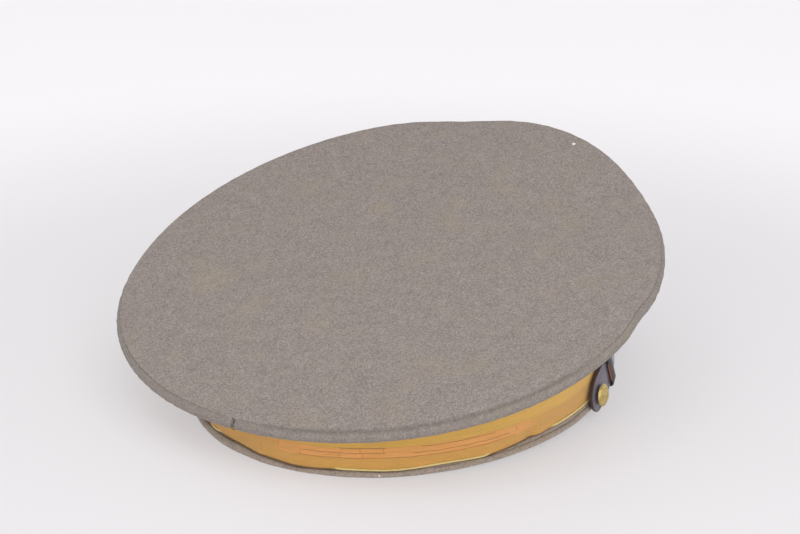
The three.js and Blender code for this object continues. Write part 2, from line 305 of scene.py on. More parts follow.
# A material's node tree, with short ways to add what the finishes below need
class Mixture:
    def __init__(self, name):
        self.material = bpy.data.materials.new(name)
        self.material.use_nodes = True
        self.tree = self.material.node_tree
        self.shader = self.tree.nodes["Principled BSDF"]

    def node(self, kind, settings=None, inputs=None):
        made = self.tree.nodes.new(kind)
        for key, value in (settings or {}).items():
            setattr(made, key, value)
        for key, value in (inputs or {}).items():
            self.put(made.inputs[key], value)
        return made

    def add(self, kind, settings=None, inputs=None, output=0):
        return Signal(self, self.node(kind, settings, inputs).outputs[output])

    def put(self, socket, value):
        if isinstance(value, Signal):
            self.tree.links.new(value.socket, socket)
        elif socket.type == "RGBA":
            socket.default_value = fromSrgb(*value)
        else:
            socket.default_value = value

    def calc(self, how, *values):
        return self.add("ShaderNodeMath", {"operation": how}, dict(enumerate(values)))

    def flat(self, name="cloth"):
        spot = self.add("ShaderNodeUVMap", {"uv_map": name})
        apart = self.node("ShaderNodeSeparateXYZ", inputs={0: spot})
        return [Signal(self, socket) for socket in apart.outputs[:2]]

    def vector(self, x, y, z=0.0):
        return self.add("ShaderNodeCombineXYZ", inputs={0: x, 1: y, 2: z})

    # Soft noise, 0 to 1, whose grains are about size across, in the units of where
    def noise(self, where, size, detail=2.0, rough=0.5):
        inputs = {"Vector": where, "Scale": 1 / size, "Detail": detail, "Roughness": rough}
        return self.add("ShaderNodeTexNoise", None, inputs)

    def random(self, where):
        return self.add("ShaderNodeTexWhiteNoise", {"noise_dimensions": "3D"}, {"Vector": where})

    def mapped(self, value, fromLow, fromHigh, toLow=0.0, toHigh=1.0):
        inputs = {0: value, 1: fromLow, 2: fromHigh, 3: toLow, 4: toHigh}
        return self.add("ShaderNodeMapRange", {"interpolation_type": "SMOOTHSTEP"}, inputs)

    # 1 between low and high, fading over soft on both sides
    def window(self, value, low, high, soft):
        rise = self.mapped(value, low - soft, low + soft)
        return rise * self.mapped(value, high - soft, high + soft, 1.0, 0.0)

    def blend(self, share, first, second, how="MIX"):
        inputs = {0: share, 6: first, 7: second}
        return self.add("ShaderNodeMix", {"data_type": "RGBA", "blend_type": how}, inputs, 2)

    def bump(self, height, depth):
        inputs = {"Height": height, "Distance": depth * mm, "Strength": 1.0}
        return self.add("ShaderNodeBump", None, inputs)

    def finish(self, colour, normal, others):
        for key, value in {"Base Color": colour, "Normal": normal, **others}.items():
            self.put(self.shader.inputs[key], value)
        return self.material


# Wool twill: slanted ribs of short floats, each float a little lighter or darker than the next
twillCloth = {
    "ribPitch": 0.5,
    "floatLength": 0.6,
    "drift": 1.3,  # how many ribs they wander sideways
    "driftSize": 9,
    "shiftSeed": 3.0,
    "fluffSize": 0.32,
    "coarseSize": 7.0,
    "lightness": 0.55,
    "swings": {  # how strongly each thing lightens and darkens the cloth, and where it does neither
        "tone": {"middle": 0.5, "weight": 0.46},
        "fluff": {"middle": 0.5, "weight": 0.5},
        "yarn": {"middle": 0.6, "weight": 0.28},
        "coarse": {"middle": 0.5, "weight": 0.25},
    },
    "dark": (102, 95, 91),
    "middle": (139, 130, 126),
    "light": (174, 164, 158),
    "olive": (150, 142, 118),
    "oliveSize": 24,
    "oliveShare": 0.28,
    "depth": 0.075,
    "roughness": 0.93,
    "sheen": 0.12,
    "seamShade": 0.4,  # painted shade: how much the cloth is darkened along the crown's seam, standing in for the shadow in its groove
    "seamShadeReach": 2.2,
    "seamShadeUneven": 1.5,
    "seamShadeColour": (92, 86, 82),
}


def makeTwill(name, turn, lightShadeTint=(255, 255, 255), spots=(), grain=1.0, seamed=False):
    look = twillCloth
    mix = Mixture(name)
    u, v = mix.flat()
    spot = mix.vector(u, v)
    c, s = math.cos(math.radians(turn)), math.sin(math.radians(turn))
    drift = (mix.noise(spot, look["driftSize"]) - 0.5) * look["drift"]
    rib = (v * c - u * s) / look["ribPitch"] + drift
    ribNumber = mix.calc("FLOOR", rib)
    ribRound = mix.calc("SINE", (rib - ribNumber) * math.pi)
    step = (u * c + v * s) / look["floatLength"] + mix.random(mix.vector(ribNumber, look["shiftSeed"]))
    floatNumber = mix.calc("FLOOR", step)
    floatRound = mix.calc("SINE", (step - floatNumber) * math.pi)
    parts = {
        "tone": mix.random(mix.vector(ribNumber, floatNumber)),
        "fluff": mix.noise(spot, look["fluffSize"], 3.0, 0.7),
        "yarn": ribRound * mix.mapped(floatRound, 0.0, 0.6, 0.5, 1.0),
        "coarse": mix.noise(spot, look["coarseSize"], 2.0, 0.6),
    }
    lightness = look["lightness"]
    for key, row in look["swings"].items():
        lightness = (parts[key] - row["middle"]) * (row["weight"] * grain) + lightness
    colour = mix.blend(mix.mapped(lightness, 0.05, 0.6), look["dark"], look["middle"])
    colour = mix.blend(mix.mapped(lightness, 0.5, 1.1), colour, look["light"])
    patch = mix.mapped(mix.noise(spot, look["oliveSize"], 3.0, 0.55), 0.48, 0.72)
    colour = mix.blend(patch * look["oliveShare"], colour, look["olive"])
    # Painted shade: the cloth darkens near the seam, where it shows as a groove
    if seamed:
        fromSeam, shows = mix.flat("edge")
        uneven = fromSeam + (parts["coarse"] - 0.5) * look["seamShadeUneven"]
        seamShaded = mix.mapped(uneven, 0.0, look["seamShadeReach"], look["seamShade"], 0.0)
        colour = mix.blend(seamShaded * shows, colour, look["seamShadeColour"])
    colour = mix.blend(1.0, colour, lightShadeTint, "MULTIPLY")
    for row in spots:
        inputs = {0: spot, 1: (*row["place"], 0)}
        reach = mix.add("ShaderNodeVectorMath", {"operation": "DISTANCE"}, inputs, "Value")
        edge = reach + parts["fluff"] * (row["radius"] * 0.8)
        mark = mix.mapped(edge, row["radius"], row["radius"] * row["soft"], row["strength"], 0.0)
        colour = mix.blend(mark, colour, row["colour"])
    normal = mix.bump(parts["yarn"] * 0.8 + parts["fluff"] * 0.5, look["depth"] * grain)
    return mix.finish(colour, normal, {
        "Roughness": look["roughness"],
        "Sheen Weight": look["sheen"],
        "Sheen Roughness": 0.5,
        "Specular IOR Level": 0.25,
    })


ribbonCloth = {
    "gold": (218, 165, 84),
    # painted light: above the orange middle the ribbon is paler, a pale line of the weave at first and
    # then lightened to make up for the shade under the crown's overhang
    "paleLitTop": (230, 182, 88),
    "orange": (238, 170, 96),
    "ribPitch": 0.62,
    "threadPitch": 0.42,
    "stretch": 0.08,  # across to along: streaks and patches are drawn out along the ribbon
    "streakSize": 0.8,
    "patchSize": 2.6,
    "orangeFrom": -176,
    "orangeTo": -108,
    "orangeLow": 7.9,
    "orangeHigh": 12.5,
    "depth": 0.12,
    "roughness": 0.48,
    "perDegree": 1.71,  # millimetres of ribbon for each degree round the cap
}


def makeRibbonCloth():
    look = ribbonCloth
    mix = Mixture("goldRibbon")
    u, v = mix.flat()
    long = mix.vector(u * look["stretch"], v)
    streak = mix.noise(long, look["streakSize"], 3.0, 0.6)
    patchy = mix.noise(long, look["patchSize"], 3.0, 0.5)
    rib = mix.calc("SINE", v * (2 * math.pi / look["ribPitch"]))
    thread = mix.calc("SINE", u * (2 * math.pi / look["threadPitch"]))
    up = mix.window(v + (patchy - 0.5) * 1.2, look["orangeLow"], look["orangeHigh"], 0.45)
    aroundCap = mix.window(u / look["perDegree"], look["orangeFrom"], look["orangeTo"], 3.0)
    orange = up * aroundCap * mix.mapped(streak, 0.25, 0.6, 0.55, 1.0)
    # the paler upper part, partly painted light
    high = mix.mapped(v, look["orangeHigh"] - 0.5, look["orangeHigh"] + 1.5)
    colour = mix.blend(high, look["gold"], look["paleLitTop"])
    colour = mix.blend(orange, colour, look["orange"])
    shade = streak * 0.34 + 0.83 + rib * 0.035 + (patchy - 0.5) * 0.16
    tone = mix.add("ShaderNodeCombineColor", inputs={0: shade, 1: shade, 2: shade})
    colour = mix.blend(1.0, colour, tone, "MULTIPLY")
    height = rib * 0.6 + thread * 0.4 + mix.noise(mix.vector(u, v), 0.3) * 0.6
    rough = mix.mapped(streak, 0.2, 0.8, look["roughness"] - 0.06, look["roughness"] + 0.1)
    return mix.finish(colour, mix.bump(height, look["depth"]), {
        "Roughness": rough,
        "Sheen Weight": 0.15,
        "Specular IOR Level": 0.3,
    })


leatherLook = {
    # painted sheen: the strap's black leather is given a light grey-violet, standing in for its reflection
    # of the pale surroundings
    "blackWithSheen": (90, 84, 96),
    "worn": (120, 110, 114),
    "peak": (56, 52, 57),
    "keeper": (48, 44, 49),
    "edge": (66, 44, 46),  # the strap's cut edges
    "rawDark": (120, 66, 44),  # the keepers' cut edges
    "rawLight": (208, 128, 82),
    "grainSize": 0.55,
    "crackleScale": 0.55,
    "scuffSize": 5,
    "depth": 0.05,
}


def makeLeather(name, colour, roughness, coat):
    look = leatherLook
    mix = Mixture(name)
    spot = mix.vector(*mix.flat())
    grain = mix.noise(spot, look["grainSize"], 4.0, 0.6)
    inputs = {"Vector": spot, "Scale": look["crackleScale"]}
    crackle = mix.add("ShaderNodeTexVoronoi", {"feature": "DISTANCE_TO_EDGE"}, inputs)
    scuff = mix.mapped(mix.noise(spot, look["scuffSize"], 4.0, 0.65), 0.55, 0.8)
    height = grain * 0.6 + mix.mapped(crackle, 0.0, 0.06) * 0.5
    worn = mix.blend(scuff * 0.5, look[colour], look["worn"])
    return mix.finish(worn, mix.bump(height, look["depth"]), {
        "Roughness": mix.mapped(scuff, 0.0, 1.0, roughness, roughness + 0.2),
        "Coat Weight": coat,
        "Coat Roughness": 0.2,
    })


def makeRawEdge():
    mix = Mixture("rawLeatherEdge")
    fibre = mix.noise(mix.vector(*mix.flat()), 0.35, 3.0, 0.7)
    colour = mix.blend(mix.mapped(fibre, 0.3, 0.7), leatherLook["rawDark"], leatherLook["rawLight"])
    return mix.finish(colour, mix.bump(fibre, 0.1), {"Roughness": 0.75})


brassLook = {"bright": (212, 188, 122), "tarnish": (168, 146, 98), "cloudSize": 2.4, "grainSize": 0.25}


def makeBrass():
    look = brassLook
    mix = Mixture("tarnishedBrass")
    spot = mix.vector(*mix.flat())
    cloud = mix.noise(spot, look["cloudSize"], 4.0, 0.6)
    fine = mix.noise(spot, look["grainSize"], 3.0, 0.7)
    colour = mix.blend(mix.mapped(cloud, 0.35, 0.75), look["bright"], look["tarnish"])
    rough = mix.mapped(cloud, 0.3, 0.8, 0.36, 0.5)
    return mix.finish(colour, mix.bump(fine, 0.006), {"Metallic": 1.0, "Roughness": rough})


def makeThread(name, dark, light, plyLength=0.4):
    mix = Mixture(name)
    u, v = mix.flat()
    ply = mix.calc("SINE", u * (2 * math.pi / plyLength) + v)
    fuzz = mix.noise(mix.vector(u, v), 0.3)
    colour = mix.blend(mix.mapped(fuzz, 0.3, 0.7), dark, light)
    return mix.finish(colour, mix.bump(ply, 0.08), {"Roughness": 0.7, "Sheen Weight": 0.2})


# Lint, specks and faint stains, with their places in the cloth's flat layout
topSpots = table(
    "place radius soft strength colour",
    ((113.0, -29.4), 0.9, 1.7, 1.0, (232, 228, 220)),
    ((31.5, 31.0), 4.0, 2.6, 0.22, (158, 146, 108)),
    ((49.0, -3.1), 3.0, 2.6, 0.18, (158, 146, 108)),
    ((-47.0, 74.0), 7.0, 2.4, 0.2, (156, 146, 112)),
)
weltSpots = table(
    "place radius soft strength colour",
    ((-253.6, 6.2), 0.5, 1.6, 0.9, (226, 216, 200)),
    ((-178.4, 9.0), 0.6, 1.6, 0.9, (58, 50, 54)),
)
# The tints make lit and shaded copies of one cloth: painted shade darkens the sides against the top, and
# painted light lightens the welt
twillTop = makeTwill("twillTop", -37, lightShadeTint=(249, 248, 246), spots=topSpots, grain=1.05, seamed=True)
twillSide = makeTwill("twillSide", 38, lightShadeTint=(232, 232, 228), grain=0.8, seamed=True)
twillBand = makeTwill("twillBand", 38)
twillWelt = makeTwill("twillWelt", 30, (280, 274, 260), weltSpots, 0.9)  # over 255 lightens: painted light on the welt, making up for the shade under the crown's overhang, and a little warmer in hue
ribbonGold = makeRibbonCloth()
strapLeatherWithSheen = makeLeather("strapLeatherWithSheen", "blackWithSheen", 0.38, 0.5)
peakFinish = makeLeather("peakFinish", "peak", 0.3, 0.6)
keeperLeather = makeLeather("keeperLeather", "keeper", 0.6, 0.1)
edgeLeather = makeLeather("edgeLeather", "edge", 0.5, 0.2)
rawEdge = makeRawEdge()
brassFinish = makeBrass()
# The selvedge thread is partly a yellow edge yarn and partly a painted highlight, paler for the light its
# curled edge catches
selvedgeThreadHighlit = makeThread("selvedgeThreadHighlit", (252, 214, 112), (255, 242, 176))
lineThread = makeThread("lineThread", (190, 122, 68), (218, 148, 88))
darkThread = makeThread("darkThread", (52, 47, 48), (84, 77, 76))
print("finishes made")

# Crown
seam = {
    "gap": 0.35,
    "tuck": 1.1,  # how far both cloths turn down into the seam
    "dip": 0.8,
    "dipReach": 1.7,
    "pucker": 0.1,
    "cloth": 1.6,
    "panelGap": 0.3,
    "turnIn": 1.0,  # how far the side panels turn in where they meet
    "turnReach": 1.1,
    "gather": 0.22,  # how much the cloth is gathered beside the panels' seams
    "gatherWide": 2.2,
    "openFrom": -177,  # the seam shows as a groove between these angles
    "openTo": -98,
    "openSoft": 8,
    "shutSoft": 16,
    "shut": 0.97,  # and is nearly shut elsewhere
}
rimProfile = table(
    "out down",
    (0.05, 0.3), (0.85, 1.15), (1.6, 2.7), (1.3, 4.5), (0, 5.4), (-1.8, 5.6),
)
kink = {"angle": -85, "wide": 4.5, "depth": 1.25}  # a dent in the rim on the right side


def outward(angle, amount):
    amount = np.asarray(amount, float)
    return asPoints(amount * np.cos(angle), amount * np.sin(angle), 0 * angle)


def downward(amount, like):
    return asPoints(0 * like, 0 * like, -np.asarray(amount, float))


def seamShift(angle):
    pulled = seam["pucker"] * wander(angle, 60, 150, 4)
    return pulled - kink["depth"] * hump(np.degrees(angle), kink["angle"], kink["wide"])


# 1 where the seam between top and sides shows as a groove, less where the cloths roll over it
def seamOpen(angle):
    low, high = seam["openFrom"], seam["openTo"]
    shows = between(np.degrees(angle), low, high, seam["openSoft"], seam["shutSoft"])
    return 1 - seam["shut"] * (1 - shows)


# Small gathers in the cloth on both sides of the panels' seam at the back
def gathers(angle):
    near = hump(180 - np.abs(degreesFrom(angle)), seam["gatherWide"], seam["gatherWide"])
    return seam["gather"] * near * wander(angle, 120, 170, 5)


crownTop = {
    "turns": 360,
    "rings": 56,
    "crowding": 0.8,  # under 1, the rings lie closer together towards the edge
    "rimRings": (0.994, 0.998),
    "underRings": (1.0, 0.97, 0.9, 0.75, 0.5, 0.25, 0.0),
    "ripple": 0.06,
    "waves": 0.35,
    "gatherReach": 5,
}


def makeCrownTop():
    look = crownTop
    angle = roundRing(look["turns"])[:, None]
    share = np.linspace(0, 1, look["rings"]) ** look["crowding"]
    share = np.sort(np.append(share, look["rimRings"]))[None, :]
    top = crownPoint(angle, share)
    inFromSeam = (1 - share) * np.linalg.norm(crownPoint(angle, 1.0) - crownPoint(angle, 0.0), axis=-1)
    near = np.exp(-inFromSeam / seam["dipReach"])
    pull = seamShift(angle) * share ** 12
    top = top + outward(angle, pull - seam["gap"] * seamOpen(angle) * share ** 60)
    top[..., 2] -= seam["dip"] * seamOpen(angle) * near
    top[..., 2] += look["ripple"] * near ** 0.5 * wander(angle, 40, 110, 9) * (share > 0)
    top[..., 2] += gathers(angle) * np.exp(-inFromSeam / look["gatherReach"])
    top[..., 2] += look["waves"] * share * wander(angle, 2, 7, 21) * np.sin(math.pi * share)
    rim = top[:, -1:]
    tuck = [rim + outward(angle, -0.15) + downward(d, angle) for d in (0.45, seam["tuck"])]
    underShare = np.array(look["underRings"])[None, :]
    under = crownPoint(angle, underShare) + downward(seam["cloth"], angle)
    under = under - outward(angle, (seam["gap"] + seam["cloth"]) * (underShare == 1.0))
    points = np.concatenate([top, *tuck, under], axis=1)
    slope = math.cos(math.atan2(cap["crownRise"], cap["crownLength"] / 2))
    flat = asPoints(points[..., 0] / slope, points[..., 1])
    edge = asPoints(np.linalg.norm((points - rim)[..., :2], axis=-1), seamOpen(angle))
    piece = makeSkin("crownTopCloth", leaned(points), flat, twillTop, loop=False, edge=edge)
    return settle(welded(piece), "twill", "crown_top")


crownSide = {
    "endInset": 3.2,
    "endOver": 0.3,
    "bow": 2.5,
    "ripple": 0.35,
    "panelRows": 16,
    "turns": 190,
    "besideSeam": (0, 0.2, 0.45, 0.75, 1.1, 1.6),  # the first steps, in shares of turnReach
}


# The outside of the crown's side at each angle, from the seam over the rolled rim and in to the band
def sideOutline(angle):
    look = crownSide
    seamAt = crownPoint(angle, 1.0)
    shift = seamShift(angle)
    end = bandPoint(angle, -look["endInset"], cap["bandTop"] + look["endOver"])
    controls = []
    for k, row in enumerate(rimProfile):
        gathered = gathers(angle) if 0 < k < 5 else 0
        moved = outward(angle, shift + gathered + row["out"]) + downward(row["down"], angle)
        controls.append(seamAt + moved)
    rim = controls[-1]
    inwards = rim + 2 * unit(end - rim)
    rounded = throughPoints(np.stack([*controls, inwards], axis=1), 4)[:, :-4]
    tuck = [seamAt + outward(angle, shift - 0.12) + downward(d, angle) for d in (seam["tuck"], 0.5)]
    tall = (rim[:, 2] - end[:, 2]) / (cap["crownHeight"] + cap["crownRise"] - end[:, 2])
    tall = np.maximum(tall, 0)
    ripple = look["ripple"] * wander(angle, 3, 14, 31) * smooth(tall * 4)
    panel = []
    for share in np.linspace(0, 1, look["panelRows"] + 1)[1:]:
        bowed = (look["bow"] * tall + ripple) * math.sin(math.pi * share)
        panel.append(rim + (end - rim) * share - outward(angle, bowed))
    wall = np.concatenate([rounded, np.stack(panel, axis=1)], axis=1)
    return np.stack(tuck, axis=1), wall


def innerWall(wall, angle, thick):
    along = unit(np.gradient(wall, axis=1))
    across = asPoints(-np.sin(angle), np.cos(angle), 0 * angle)[:, None, :]
    return wall - thick * unit(np.cross(along, np.broadcast_to(across, along.shape)))


def makeCrownSide(name, side, node):
    # steps are fine beside the two seams, where the edges turn in, and coarser between them
    radius, halfGap = cap["crownWidth"] / 2, seam["panelGap"] / 2
    fine = (halfGap + seam["turnReach"] * np.array(crownSide["besideSeam"])) / radius
    middle = np.linspace(fine[-1], math.pi - fine[-1], crownSide["turns"])[1:-1]
    angle = side * np.concatenate([fine, middle, (math.pi - fine)[::-1]])
    tuck, wall = sideOutline(angle)
    inner = innerWall(wall, angle, seam["cloth"])
    fromSeam = np.minimum(np.abs(angle), math.pi - np.abs(angle)) * radius
    sink = seam["turnIn"] * np.exp(-((fromSeam - halfGap) / seam["turnReach"]) ** 1.3)
    wall = wall + (innerWall(wall, angle, 1.0) - wall) * sink[:, None, None]
    wall[:, :3] -= downward(0.25 * sink[:, None], 0 * sink[:, None])
    points = np.concatenate([tuck, wall, inner[:, ::-1]], axis=1)
    down = arcLengths(points, 1)
    flat = asPoints(arcLengths(crownPoint(angle, 1.0), 0)[:, None], down)
    edge = asPoints(np.abs(down - down[:, 2:3]), seamOpen(angle)[:, None])
    piece = makeSkin(name, leaned(points), flat, twillSide, ring=False, capped=True, edge=edge)
    return settle(piece, "twill", node)


makeCrownTop()
makeCrownSide("sideClothLeft", 1, "crown_side_left")
makeCrownSide("sideClothRight", -1, "crown_side_right")
print("crown made")

# Band, ribbon and welt
band = {"inset": 2.9, "thick": 2.4, "turns": 240, "bevel": 0.5, "rows": 8}
ribbon = {
    "inset": 2.0,
    "thick": 0.6,
    "top": 25.6,
    "gap": 0.1,
    "bulge": 0.25,
    "ripple": 0.12,
    "turns": 720,
    "rows": 26,
    "dents": table(
        "angle high wide tall depth",
        (-108.2, 5.0, 1.6, 3.0, 1.1),
        (-104.8, 8.0, 1.3, 6.0, -0.35),
    ),
}


def ribbonFace(angle, high, out=0.0):
    low = weltTopAt(angle) + ribbon["gap"]
    share = (high - low) / (ribbon["top"] - low)
    away = -ribbon["inset"] + ribbon["bulge"] * np.sin(math.pi * np.clip(share, 0, 1))
    away = away + ribbon["ripple"] * wander(angle, 5, 26, 51) * (1 - share)
    for dent in ribbon["dents"]:
        there = hump(degreesFrom(angle), dent["angle"], dent["wide"])
        away = away - dent["depth"] * there * hump(high, dent["high"], dent["tall"])
    return bandPoint(angle, away + out, high)


# A closed piece of the band, whose flat layout goes once round the cap and across it
def makeBandPiece(name, placed, angle, across, material, slot, node):
    perDegree = ribbonCloth["perDegree"]
    flat = asPoints(np.degrees(angle) * perDegree, across)
    return settle(makeSkin(name, placed, flat, material, around=360 * perDegree), slot, node)


def makeRibbon():
    angle = roundRing(ribbon["turns"])[:, None]
    low = weltTopAt(angle) + ribbon["gap"]
    share = np.linspace(0, 1, ribbon["rows"])[None, :]
    tall = ribbon["top"] - low
    face = ribbonFace(angle, low + share * tall)
    back = bandPoint(angle, -ribbon["inset"] - ribbon["thick"], low + share[:, ::-3] * tall)
    points = np.concatenate([face, back], axis=1)
    high = points[..., 2]
    makeBandPiece("ribbonCloth", leaned(points), angle, high, ribbonGold, "ribbon", "band_ribbon")


def makeBand():
    angle = roundRing(band["turns"])[:, None]
    low = weltTopAt(angle) + ribbon["gap"]
    top, thick, bevel, rows = cap["bandTop"], band["thick"], band["bevel"], band["rows"]
    outline = [(0, low), (0, top - bevel), (bevel, top), (thick - bevel, top), (thick, top - bevel)]
    outline += [(thick, low + (top - low) * k / rows) for k in range(rows - 1, -1, -1)]
    points = [bandPoint(angle, -band["inset"] - deep, high) for deep, high in outline]
    points = np.concatenate(points, axis=1)
    across = arcLengths(points, 1)
    makeBandPiece("bandCloth", leaned(points), angle, across, twillBand, "twill", "cap_band")


def makeWelt():
    angle = roundRing(ribbon["turns"])
    top = weltTopAt(angle)
    degrees = np.degrees(angle)
    leftShare = smooth((degrees - welt["leftFrom"]) / welt["leftSoft"])
    leftShare = leftShare + smooth((welt["leftTo"] - degrees) / welt["leftEndSoft"])
    rollHigh = welt["rollHeight"] + welt["rollExtra"] * leftShare
    roll = np.minimum(top, rollHigh + welt["rollRipple"] * wander(angle, 8, 30, 61))
    half = (roll + welt["drop"]) / 2
    lumps = welt["lumps"] * wander(angle, 90, 220, 63) + welt["waves"] * wander(angle, 10, 40, 64)
    points = [bandPoint(angle, -deep, -welt["drop"]) for deep in (welt["inside"], 3.6, 2.0)]
    for turn in np.linspace(-math.pi / 2, math.pi / 2, 13):
        out = welt["rollRound"] * half * (math.cos(turn) - 1) + lumps * math.cos(turn)
        points.append(bandPoint(angle, out, half - welt["drop"] + half * math.sin(turn)))
    room = smooth((top - roll) / 0.6)
    strip = -welt["stripInset"]
    points.append(bandPoint(angle, strip - 0.35, roll - 0.25 * room))
    points.append(bandPoint(angle, strip, roll + (top - roll) * 0.35))
    points.append(bandPoint(angle, strip + 0.1, roll + (top - roll) * 0.8))
    points += [bandPoint(angle, out, top) for out in (strip - 0.25, -3.0, -welt["inside"])]
    points = np.stack(points, axis=1)
    across = arcLengths(points, 1)
    makeBandPiece("weltCloth", pressed(points), angle[:, None], across, twillWelt, "twill", "lower_welt")


# A thread along a line of points, as one closed tube. The points are in the cap's own frame.
def makeThreads(name, lines, radius, material, slot, sides=6):
    meshes = []
    for line in lines:
        line = leaned(line)
        along = unit(np.gradient(line, axis=0))
        guide = np.where(np.abs(along[:, 2:]) > 0.9, [1.0, 0, 0], [0, 0, 1.0])
        first = unit(np.cross(along, guide))[:, None]
        second = np.cross(along[:, None], first)
        thick = np.full((len(line), 1, 1), radius)
        thick[[0, -1]] *= 0.45
        turn = np.linspace(0, 2 * math.pi, sides, endpoint=False)[:, None]
        points = line[:, None] + thick * (np.cos(turn) * first + np.sin(turn) * second)
        flat = asPoints(arcLengths(line, 0)[:, None], turn[:, 0])
        meshes.append(makeSkin(name, points, flat, material, ring=False, capped=True))
    piece = meshes[0]
    if len(meshes) > 1:
        with bpy.context.temp_override(active_object=piece, selected_editable_objects=meshes):
            bpy.ops.object.join()
    piece.name = name
    return settle(piece, slot)


selvedge = {
    "radius": 0.46,
    "high": 0.5,
    "sunk": -0.45,
    "proud": 0.32,
    "soft": 2.5,
    "shows": table(
        "from to",
        (-204, -197), (-160, -120), (-101, -80),
    ),
}


def makeSelvedge():
    angle = np.radians(np.linspace(-205, 155, 500)[:-2])
    degrees = np.degrees(angle)
    out = np.full_like(angle, selvedge["sunk"])
    for stretch in selvedge["shows"]:
        shows = between(degrees, stretch["from"], stretch["to"], selvedge["soft"], selvedge["soft"])
        out += (selvedge["proud"] - selvedge["sunk"]) * shows
    line = ribbonFace(angle, weltTopAt(angle) + ribbon["gap"] + selvedge["high"], out)
    makeThreads("ribbonSelvedge", [line], selvedge["radius"], selvedgeThreadHighlit, "ribbon")


# Woven lines and ticks in the ribbon's orange middle, as they run past the back
ribbonThread = {"radius": 0.14, "proud": -0.04}
ribbonLines = table(
    "high from to",
    (7.95, -170, -112), (10.3, -168.5, -146), (12.6, -158.5, -146), (9.6, -140, -114), (12.2, -138, -118),
)
ribbonTicks = table(
    "angle low high",
    (179.4, 5.2, 9.2), (-175.2, 9.5, 12.2), (-168.8, 8.1, 10.4), (-158.3, 8.1, 10.3), (-157.6, 10.5, 12.8),
    (-153.0, 10.4, 12.5), (-152.4, 8.1, 10.3), (-147.2, 10.4, 12.8), (-112.5, 9.6, 12.0),
)


def makeRibbonLines():
    lines = []
    for row in ribbonLines:
        angle = np.radians(np.arange(row["from"], row["to"], 0.5))
        high = row["high"] + 0.08 * wander(angle, 20, 60, 71)
        lines.append(ribbonFace(angle, high, ribbonThread["proud"]))
    for row in ribbonTicks:
        high = np.linspace(row["low"], row["high"], 6)
        lines.append(ribbonFace(np.radians(row["angle"]) + 0 * high, high, ribbonThread["proud"]))
    makeThreads("ribbonWovenLines", lines, ribbonThread["radius"], lineThread, "ribbon")


# The panels' seam at the back is closed by hand over the rim, with a few short dark stitches
backStitches = {
    "count": 6,
    "from": 0.5,
    "to": 4.8,
    "slant": 0.35,
    "radius": 0.11,
    "apart": 0.3,
    "past": 0.2,
    "arch": 0.25,
    "sunk": 0.12,
}


def makeBackStitches():
    look = backStitches
    across = math.radians(look["apart"])
    edges = np.array([math.pi - across, -math.pi + across])
    wall = sideOutline(edges)[1]
    deep = wall[0, :1, 2] - wall[:, :, 2].mean(axis=0)
    lines = []
    for down in np.linspace(look["from"], look["to"], look["count"]):
        ends = []
        for side, drop in ((0, down - look["slant"]), (1, down + look["slant"])):
            ends.append([np.interp(drop, deep[:16], wall[side, :16, axis]) for axis in range(3)])
        start, stop = np.array(ends)
        share = np.linspace(-look["past"], 1 + look["past"], 7)[:, None]
        line = start + share * (stop - start)
        line[:, 0] -= look["arch"] * np.sin(math.pi * np.clip(share[:, 0], 0, 1)) - look["sunk"]
        lines.append(line)
    makeThreads("backSeamStitches", lines, look["radius"], darkThread, "twill")


makeBand()
makeRibbon()
makeBackStitches()
makeSelvedge()
makeRibbonLines()
makeWelt()
print("band made")

# Peak
peak = {
    "cornerAngle": 45,
    "reach": 42,
    "thick": 2.2,
    "rootTop": 2.5,
    "rootGap": 0.35,
    "tipSunk": 0.25,
    "beadIn": 3.2,
    "beadHigh": 0.45,
    "beadWide": 0.7,
}


def peakWidth(angle):
    corner = bandPoint(np.radians(peak["cornerAngle"]), 0, 0)
    tip = bandPoint(0.0, peak["reach"], 0)
    radius = ((tip[0] - corner[0]) ** 2 + corner[1] ** 2) / (2 * (tip[0] - corner[0]))
    root = bandPoint(angle, 0, 0) - np.array([tip[0] - radius, 0, 0])
    outwards = outward(angle, 1.0)
    along = np.sum(root * outwards, axis=-1)
    return np.sqrt(along ** 2 + radius ** 2 - np.sum(root * root, axis=-1)) - along


def makePeak():
    tip = bandPoint(0.0, peak["reach"], 0)
    surface = -(lift + tip[0] * math.sin(lean)) / math.cos(lean)
    run = peak["reach"] - peak["rootGap"]
    slope = (peak["rootTop"] - peak["thick"] - surface + peak["tipSunk"]) / run
    widest = peak["cornerAngle"] * 0.985
    angle = np.radians(np.linspace(-widest, widest, 160))
    full = peakWidth(angle) - peak["rootGap"]
    half = peak["thick"] / 2
    soft = np.minimum(half * 0.8, full * 0.3)
    rows = []
    for share in np.linspace(0, 1, 30, endpoint=False):
        bead = peak["beadHigh"] * hump(full * (1 - share), peak["beadIn"], peak["beadWide"])
        rows.append(((full - soft) * share, bead))
    for turn in np.linspace(math.pi / 2, -math.pi / 2, 9):
        rows.append((full - soft + soft * math.cos(turn), half * (math.sin(turn) - 1)))
    for share in np.linspace(1, 0, 13)[1:]:
        rows.append(((full - soft) * share, -peak["thick"] + 0 * full))
    points = []
    for reach, high in rows:
        at = bandPoint(angle, 0, 0) + outward(angle, peak["rootGap"] + reach)
        at[:, 2] = peak["rootTop"] - slope * reach + high
        points.append(at)
    points = np.stack(points, axis=1)
    piece = makeSkin("peakLeather", pressed(points), points[..., :2], peakFinish, ring=False, capped=True)
    return settle(piece, "leather", "peak")


